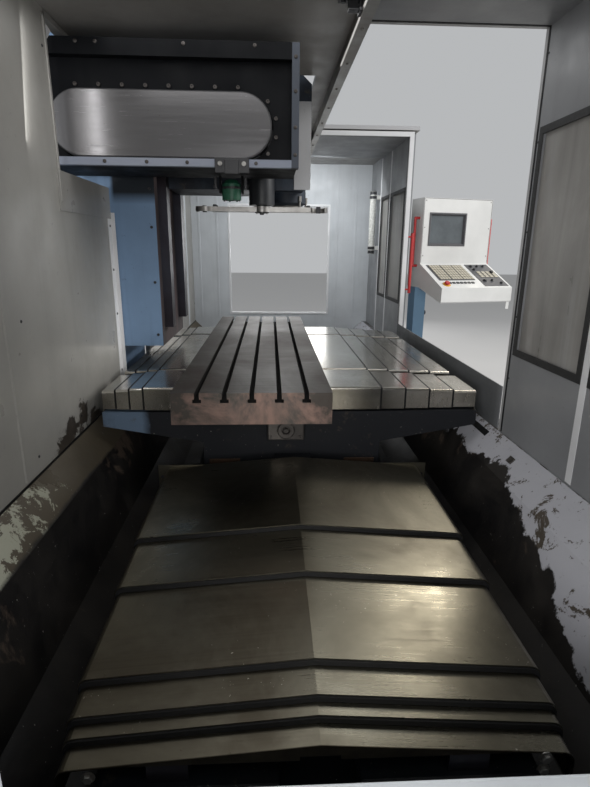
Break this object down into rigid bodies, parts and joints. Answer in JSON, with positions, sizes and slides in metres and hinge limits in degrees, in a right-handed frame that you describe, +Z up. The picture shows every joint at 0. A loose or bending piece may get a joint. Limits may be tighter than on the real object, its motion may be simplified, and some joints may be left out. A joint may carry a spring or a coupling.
{
  "type": "cnc machining center",
  "caption": "Enclosed vertical machining center with a T-slot table, telescopic way covers, chain tool magazine, changer arm, sliding doors and a free-standing control console.",
  "frame": {"origin": "on the floor, straight below the spindle axis", "axes": "+Z up; +X along the bed from the end the picture was taken at towards the far end; +Y from the spindle towards the column at the back, so the doors are on the -Y side"},
  "size_m": [5.54, 3.6443, 3.24],
  "materials": {
    "bed": "semi-gloss enamel on casting",
    "bed_ways": "ground",
    "x_ballscrew": "ground",
    "gutters": "worn enamel with coolant stains",
    "column": "semi-gloss enamel on casting",
    "column_ways": "ground",
    "z_motor": "satin enamel",
    "x_cover_near_1": "brushed, slightly oily sheet",
    "x_cover_near_2": "brushed, slightly oily sheet",
    "x_cover_near_3": "brushed, slightly oily sheet",
    "x_cover_near_4": "brushed, slightly oily sheet",
    "x_cover_near_5": "brushed, slightly oily sheet",
    "x_cover_near_6": "brushed, slightly oily sheet",
    "x_cover_far_1": "brushed, slightly oily sheet",
    "x_cover_far_2": "brushed, slightly oily sheet",
    "x_cover_far_3": "brushed, slightly oily sheet",
    "x_cover_far_4": "brushed, slightly oily sheet",
    "saddle": "semi-gloss enamel on casting",
    "saddle_ways": "ground",
    "cross_slide": "semi-gloss enamel on casting",
    "table": "ground, with light rust",
    "y_cover_front_1": "polished stainless sheet",
    "y_cover_front_2": "polished stainless sheet",
    "y_cover_front_3": "polished stainless sheet",
    "y_cover_front_4": "polished stainless sheet",
    "y_cover_front_5": "polished stainless sheet",
    "y_cover_rear_1": "polished stainless sheet",
    "y_cover_rear_2": "polished stainless sheet",
    "y_cover_rear_3": "polished stainless sheet",
    "y_cover_rear_4": "polished stainless sheet",
    "head": "satin enamel",
    "spindle": "ground and hardened",
    "spindle_motor": "satin enamel",
    "magazine_frame": "satin enamel",
    "magazine_plate": "satin",
    "tool_chain": "moulded pots",
    "ready_pot": "satin enamel",
    "changer_gearbox": "satin enamel",
    "changer_arm": "ground",
    "rear_wall_near": "satin enamel, splashed with coolant",
    "rear_wall_far": "satin enamel, splashed with coolant",
    "wall_hatch": "satin enamel",
    "end_wall_near": "satin enamel",
    "end_wall_far": "satin enamel",
    "front_wall_near": "satin enamel, splashed with coolant",
    "front_wall_far": "satin enamel, splashed with coolant",
    "door_channel": "satin enamel",
    "roof": "satin enamel, splashed with coolant",
    "door_rail": "ground",
    "work_lamp": "frosted tube",
    "door_leaf_near": "satin enamel, splashed with coolant",
    "door_leaf_far": "satin enamel, splashed with coolant",
    "door_glass_near": "clouded by coolant",
    "door_glass_far": "clouded by coolant",
    "console_box": "satin enamel",
    "console_post": "semi-gloss enamel on casting",
    "console_screen": "screen glass",
    "console_handles": "gloss enamel",
    "emergency_stop": "moulded",
    "override_knob": "moulded"
  },
  "bodies": {
    "frame": {"bed": "bed", "bed_ways": "bed_ways", "x_ballscrew": "x_ballscrew", "gutters": "gutters", "column": "column", "column_ways": "column_ways", "z_motor": "z_motor", "x_cover_near_1": "x_cover_near_1", "x_cover_far_1": "x_cover_far_1", "magazine_frame": "magazine_frame", "magazine_plate": "magazine_plate", "tool_chain": "tool_chain", "changer_gearbox": "changer_gearbox", "rear_wall_near": "rear_wall_near", "rear_wall_far": "rear_wall_far", "wall_hatch": "wall_hatch", "end_wall_near": "end_wall_near", "end_wall_far": "end_wall_far", "front_wall_near": "front_wall_near", "front_wall_far": "front_wall_far", "door_channel": "door_channel", "roof": "roof", "door_rail": "door_rail", "work_lamp": "work_lamp", "console_box": "console_box", "console_post": "console_post", "console_screen": "console_screen", "console_handles": "console_handles"},
    "saddle": {"saddle": "saddle", "saddle_ways": "saddle_ways", "x_cover_near_6": "x_cover_near_6", "x_cover_far_4": "x_cover_far_4", "y_cover_front_5": "y_cover_front_5", "y_cover_rear_4": "y_cover_rear_4"},
    "table": {"cross_slide": "cross_slide", "table": "table", "y_cover_front_1": "y_cover_front_1", "y_cover_rear_1": "y_cover_rear_1"},
    "near_hood_2": {"x_cover_near_2": "x_cover_near_2"},
    "near_hood_3": {"x_cover_near_3": "x_cover_near_3"},
    "near_hood_4": {"x_cover_near_4": "x_cover_near_4"},
    "near_hood_5": {"x_cover_near_5": "x_cover_near_5"},
    "far_hood_2": {"x_cover_far_2": "x_cover_far_2"},
    "far_hood_3": {"x_cover_far_3": "x_cover_far_3"},
    "front_hood_2": {"y_cover_front_2": "y_cover_front_2"},
    "front_hood_3": {"y_cover_front_3": "y_cover_front_3"},
    "front_hood_4": {"y_cover_front_4": "y_cover_front_4"},
    "rear_hood_2": {"y_cover_rear_2": "y_cover_rear_2"},
    "rear_hood_3": {"y_cover_rear_3": "y_cover_rear_3"},
    "head": {"head": "head", "spindle_motor": "spindle_motor"},
    "spindle": {"spindle": "spindle"},
    "ready_pot": {"ready_pot": "ready_pot"},
    "changer_arm": {"changer_arm": "changer_arm"},
    "door_near": {"door_leaf_near": "door_leaf_near", "door_glass_near": "door_glass_near"},
    "door_far": {"door_leaf_far": "door_leaf_far", "door_glass_far": "door_glass_far"},
    "emergency_stop": {"emergency_stop": "emergency_stop"},
    "override_knob": {"override_knob": "override_knob"}
  },
  "joints": [
    {"name": "x_axis", "type": "slide", "parent": "frame", "child": "saddle", "axis": [1, 0, 0], "range_m": [-0.7, 0.6]},
    {"name": "near_hood_2_slide", "type": "slide", "parent": "frame", "child": "near_hood_2", "axis": [1, 0, 0], "range_m": [-0.0526, 0.0452]},
    {"name": "near_hood_3_slide", "type": "slide", "parent": "frame", "child": "near_hood_3", "axis": [1, 0, 0], "range_m": [-0.0851, 0.0731]},
    {"name": "near_hood_4_slide", "type": "slide", "parent": "frame", "child": "near_hood_4", "axis": [1, 0, 0], "range_m": [-0.1651, 0.1416]},
    {"name": "near_hood_5_slide", "type": "slide", "parent": "frame", "child": "near_hood_5", "axis": [1, 0, 0], "range_m": [-0.4728, 0.4053]},
    {"name": "far_hood_2_slide", "type": "slide", "parent": "frame", "child": "far_hood_2", "axis": [1, 0, 0], "range_m": [-0.2339, 0.2005]},
    {"name": "far_hood_3_slide", "type": "slide", "parent": "frame", "child": "far_hood_3", "axis": [1, 0, 0], "range_m": [-0.4672, 0.4005]},
    {"name": "y_axis", "type": "slide", "parent": "saddle", "child": "table", "axis": [0, 1, 0], "range_m": [-0.45, 0.199]},
    {"name": "front_hood_2_slide", "type": "slide", "parent": "saddle", "child": "front_hood_2", "axis": [0, 1, 0], "range_m": [-0.338, 0.1498]},
    {"name": "front_hood_3_slide", "type": "slide", "parent": "saddle", "child": "front_hood_3", "axis": [0, 1, 0], "range_m": [-0.2255, 0.1]},
    {"name": "front_hood_4_slide", "type": "slide", "parent": "saddle", "child": "front_hood_4", "axis": [0, 1, 0], "range_m": [-0.113, 0.0503]},
    {"name": "rear_hood_2_slide", "type": "slide", "parent": "saddle", "child": "rear_hood_2", "axis": [0, 1, 0], "range_m": [-0.3005, 0.1332]},
    {"name": "rear_hood_3_slide", "type": "slide", "parent": "saddle", "child": "rear_hood_3", "axis": [0, 1, 0], "range_m": [-0.1505, 0.0669]},
    {"name": "z_axis", "type": "slide", "parent": "frame", "child": "head", "axis": [0, 0, 1], "range_m": [-0.6, 0.05]},
    {"name": "spindle_spin", "type": "hinge", "parent": "head", "child": "spindle", "pos_m": [0, 0, 1.795], "axis": [0, 0, 1], "continuous": true},
    {"name": "pot_tilt", "type": "hinge", "parent": "frame", "child": "ready_pot", "pos_m": [-0.56, 0.3, 1.841], "axis": [0, 1, 0], "range_deg": [0, 90]},
    {"name": "arm_swing", "type": "hinge", "parent": "frame", "child": "changer_arm", "pos_m": [-0.28, 0.15, 1.75], "axis": [0, 0, -1], "range_deg": [0, 61.8]},
    {"name": "door_near_slide", "type": "slide", "parent": "frame", "child": "door_near", "axis": [1, 0, 0], "range_m": [0, 1.036]},
    {"name": "door_far_slide", "type": "slide", "parent": "frame", "child": "door_far", "axis": [1, 0, 0], "range_m": [-1.036, 0]},
    {"name": "emergency_stop_press", "type": "slide", "parent": "frame", "child": "emergency_stop", "axis": [0.4248, 0.1083, -0.8988], "range_m": [0, 0.006], "stiffness_N_per_m": 3000},
    {"name": "override_knob_turn", "type": "hinge", "parent": "frame", "child": "override_knob", "pos_m": [1.11184, -1.80017, 1.3606], "axis": [-0.4248, -0.1083, 0.8988], "range_deg": [-135, 135]}
  ],
  "couplings": [
    {"joint": "near_hood_2_slide", "follows": "x_axis", "ratio": 0.074369},
    {"joint": "near_hood_3_slide", "follows": "x_axis", "ratio": 0.12085},
    {"joint": "near_hood_4_slide", "follows": "x_axis", "ratio": 0.23506},
    {"joint": "near_hood_5_slide", "follows": "x_axis", "ratio": 0.67463},
    {"joint": "far_hood_2_slide", "follows": "x_axis", "ratio": 0.33333},
    {"joint": "far_hood_3_slide", "follows": "x_axis", "ratio": 0.66667},
    {"joint": "front_hood_2_slide", "follows": "y_axis", "ratio": 0.75},
    {"joint": "front_hood_3_slide", "follows": "y_axis", "ratio": 0.5},
    {"joint": "front_hood_4_slide", "follows": "y_axis", "ratio": 0.25},
    {"joint": "rear_hood_2_slide", "follows": "y_axis", "ratio": 0.66667},
    {"joint": "rear_hood_3_slide", "follows": "y_axis", "ratio": 0.33333}
  ]
}
